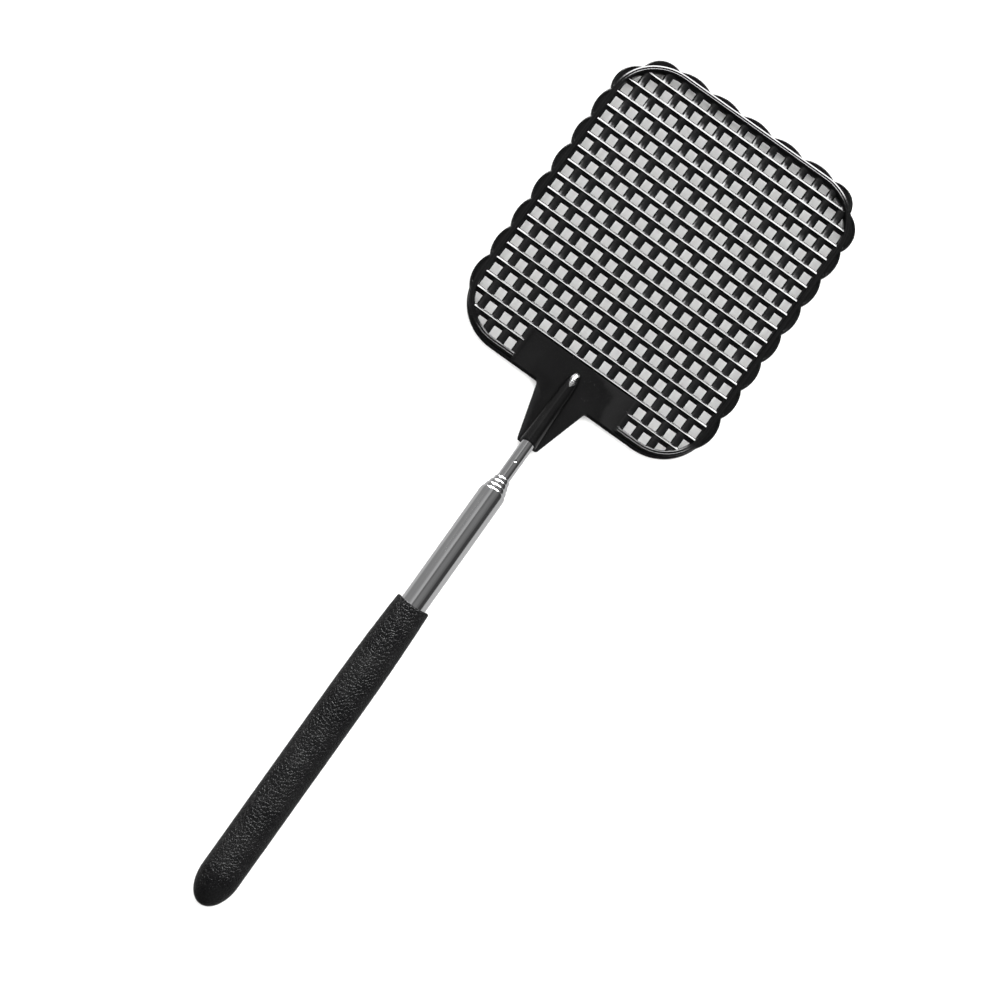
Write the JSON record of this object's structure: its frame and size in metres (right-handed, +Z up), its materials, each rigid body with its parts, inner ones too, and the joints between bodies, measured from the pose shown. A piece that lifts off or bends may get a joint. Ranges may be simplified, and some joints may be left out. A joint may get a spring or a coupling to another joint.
{
  "type": "telescopic fly swatter",
  "caption": "Fly swatter with a scalloped lattice head on a pull-out telescopic steel rod and a soft black grip with a domed end.",
  "frame": {"origin": "middle of the pushed-in swatter's box, on the surface that the grip lies on", "axes": "+Y along the rod from the grip's closed end to the head's tip, +X across the head, +Z up, out of the head's ribbed face"},
  "size_m": [0.0838, 0.29, 0.0124],
  "materials": {
    "head_plastic": "semi-gloss flexible black plastic",
    "stud_steel": "polished",
    "polished_tube": "polished stainless steel with fine lengthwise drawing marks",
    "plug_plastic": "matte",
    "grip_foam": "matte closed-cell foam rubber with a fine leather-like grain",
    "bronze_shim": "bright, oiled"
  },
  "bodies": {
    "handle": {"outer_tube": "polished_tube", "tube_end_plug": "plug_plastic", "handle_grip": "grip_foam"},
    "sleeves_1": {"friction_sleeve_1_left": "bronze_shim", "friction_sleeve_1_right": "bronze_shim"},
    "section_2": {"tube_section_2": "polished_tube"},
    "sleeves_2": {"friction_sleeve_2_left": "bronze_shim", "friction_sleeve_2_right": "bronze_shim"},
    "section_3": {"tube_section_3": "polished_tube"},
    "sleeves_3": {"friction_sleeve_3_left": "bronze_shim", "friction_sleeve_3_right": "bronze_shim"},
    "section_4": {"tube_section_4": "polished_tube"},
    "sleeves_4": {"friction_sleeve_4_left": "bronze_shim", "friction_sleeve_4_right": "bronze_shim"},
    "head": {"inner_rod": "polished_tube", "head_stud": "stud_steel", "swatter_head": "head_plastic"}
  },
  "joints": [
    {"name": "pull_1", "type": "slide", "parent": "handle", "child": "sleeves_1", "axis": [0, 1, 0], "range_m": [0, 0.11]},
    {"name": "turn_1", "type": "hinge", "parent": "sleeves_1", "child": "section_2", "pos_m": [0, 0, 0.0062], "axis": [0, 1, 0], "continuous": true},
    {"name": "pull_2", "type": "slide", "parent": "section_2", "child": "sleeves_2", "axis": [0, 1, 0], "range_m": [0, 0.11]},
    {"name": "turn_2", "type": "hinge", "parent": "sleeves_2", "child": "section_3", "pos_m": [0, 0, 0.0062], "axis": [0, 1, 0], "continuous": true},
    {"name": "pull_3", "type": "slide", "parent": "section_3", "child": "sleeves_3", "axis": [0, 1, 0], "range_m": [0, 0.11]},
    {"name": "turn_3", "type": "hinge", "parent": "sleeves_3", "child": "section_4", "pos_m": [0, 0, 0.0062], "axis": [0, 1, 0], "continuous": true},
    {"name": "pull_4", "type": "slide", "parent": "section_4", "child": "sleeves_4", "axis": [0, 1, 0], "range_m": [0, 0.11]},
    {"name": "turn_4", "type": "hinge", "parent": "sleeves_4", "child": "head", "pos_m": [0, 0, 0.0062], "axis": [0, 1, 0], "continuous": true}
  ]
}
